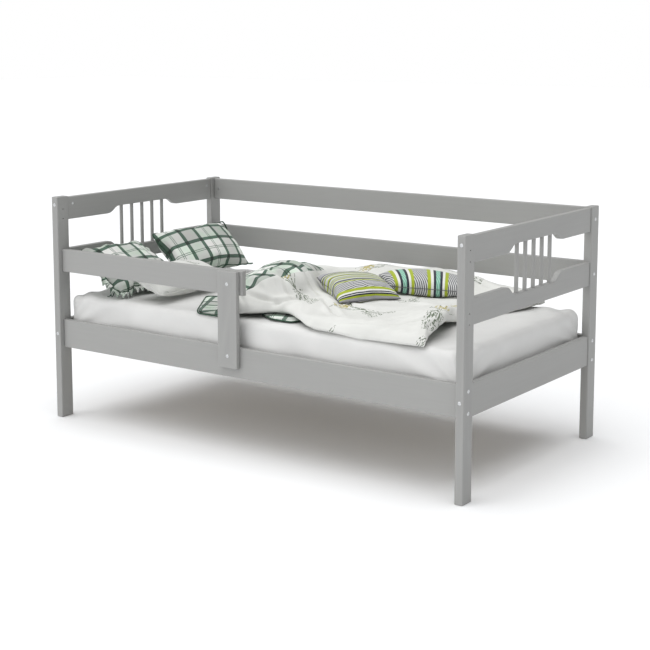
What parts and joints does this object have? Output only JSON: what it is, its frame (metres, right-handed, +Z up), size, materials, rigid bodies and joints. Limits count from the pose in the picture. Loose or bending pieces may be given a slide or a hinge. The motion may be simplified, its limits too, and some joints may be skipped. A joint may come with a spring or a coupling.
{
  "type": "toddler bed",
  "caption": "Low painted timber bed with spindled end panels, a part-length guard rail, a slatted base, a mattress and loose bedding.",
  "frame": {"origin": "on the floor, under the middle of the bed's outside box", "axes": "+X along the bed to the foot end, +Y across it to the rear side, +Z up; the guard rail is on the -Y side at the head end"},
  "size_m": [1.6552, 0.8815, 0.784],
  "materials": {
    "grey_paint": "satin grey paint over solid timber",
    "slat_wood": "bare planed pine",
    "steel": "zinc plated furniture bolts and nuts",
    "fitted_sheet": "white sateen fitted sheet",
    "duvet_floral": "white cotton printed with small sprays of stems and ochre flowers",
    "plaid": "pale cotton with a dark green check",
    "stripes": "cotton with lime, white, grey and black stripes"
  },
  "bodies": {
    "frame": {"post_head_front": "grey_paint", "post_head_rear": "grey_paint", "post_foot_front": "grey_paint", "post_foot_rear": "grey_paint", "head_upper_rail": "grey_paint", "head_middle_rail": "grey_paint", "head_bed_rail": "grey_paint", "foot_upper_rail": "grey_paint", "foot_middle_rail": "grey_paint", "foot_bed_rail": "grey_paint", "head_spindle_1": "grey_paint", "head_spindle_2": "grey_paint", "head_spindle_3": "grey_paint", "head_spindle_4": "grey_paint", "head_spindle_5": "grey_paint", "foot_spindle_1": "grey_paint", "foot_spindle_2": "grey_paint", "foot_spindle_3": "grey_paint", "foot_spindle_4": "grey_paint", "foot_spindle_5": "grey_paint", "front_bed_rail": "grey_paint", "rear_bed_rail": "grey_paint", "rear_upper_rail": "grey_paint", "rear_middle_rail": "grey_paint", "guard_rail": "grey_paint", "guard_stile": "grey_paint", "front_ledger": "slat_wood", "rear_ledger": "slat_wood", "slat_01": "slat_wood", "slat_02": "slat_wood", "slat_03": "slat_wood", "slat_04": "slat_wood", "slat_05": "slat_wood", "slat_06": "slat_wood", "slat_07": "slat_wood", "slat_08": "slat_wood", "slat_09": "slat_wood", "slat_10": "slat_wood", "bolt_head_front_upper": "steel", "bolt_head_front_lower": "steel", "bolt_head_rear_upper": "steel", "bolt_head_rear_lower": "steel", "bolt_foot_front_upper": "steel", "bolt_foot_front_lower": "steel", "bolt_foot_rear_upper": "steel", "bolt_foot_rear_lower": "steel", "bolt_head_end_upper": "steel", "bolt_head_end_middle": "steel", "bolt_foot_end_upper": "steel", "bolt_foot_end_middle": "steel", "bolt_stile_upper": "steel", "bolt_stile_lower": "steel"},
    "mattress": {"mattress": "fitted_sheet"},
    "duvet": {"duvet": "duvet_floral"},
    "pillow_plaid_rear": {"pillow_plaid_rear": "plaid"},
    "pillow_plaid_front": {"pillow_plaid_front": "plaid"},
    "pillow_floral": {"pillow_floral": "duvet_floral"},
    "cushion_square": {"cushion_square": "stripes"},
    "cushion_oblong": {"cushion_oblong": "stripes"}
  },
  "joints": [
    {"name": "mattress_lift", "type": "slide", "parent": "frame", "child": "mattress", "axis": [0, 0, 1], "range_m": [0, 0.5]},
    {"name": "duvet_lift", "type": "slide", "parent": "mattress", "child": "duvet", "axis": [0, 0, 1], "range_m": [0, 0.4]},
    {"name": "pillow_plaid_rear_lift", "type": "slide", "parent": "mattress", "child": "pillow_plaid_rear", "axis": [0, 0, 1], "range_m": [0, 0.4]},
    {"name": "pillow_plaid_front_lift", "type": "slide", "parent": "mattress", "child": "pillow_plaid_front", "axis": [0, 0, 1], "range_m": [0, 0.4]},
    {"name": "pillow_floral_lift", "type": "slide", "parent": "mattress", "child": "pillow_floral", "axis": [0, 0, 1], "range_m": [0, 0.4]},
    {"name": "cushion_square_lift", "type": "slide", "parent": "duvet", "child": "cushion_square", "axis": [0, 0, 1], "range_m": [0, 0.3]},
    {"name": "cushion_oblong_lift", "type": "slide", "parent": "duvet", "child": "cushion_oblong", "axis": [0, 0, 1], "range_m": [0, 0.3]}
  ]
}
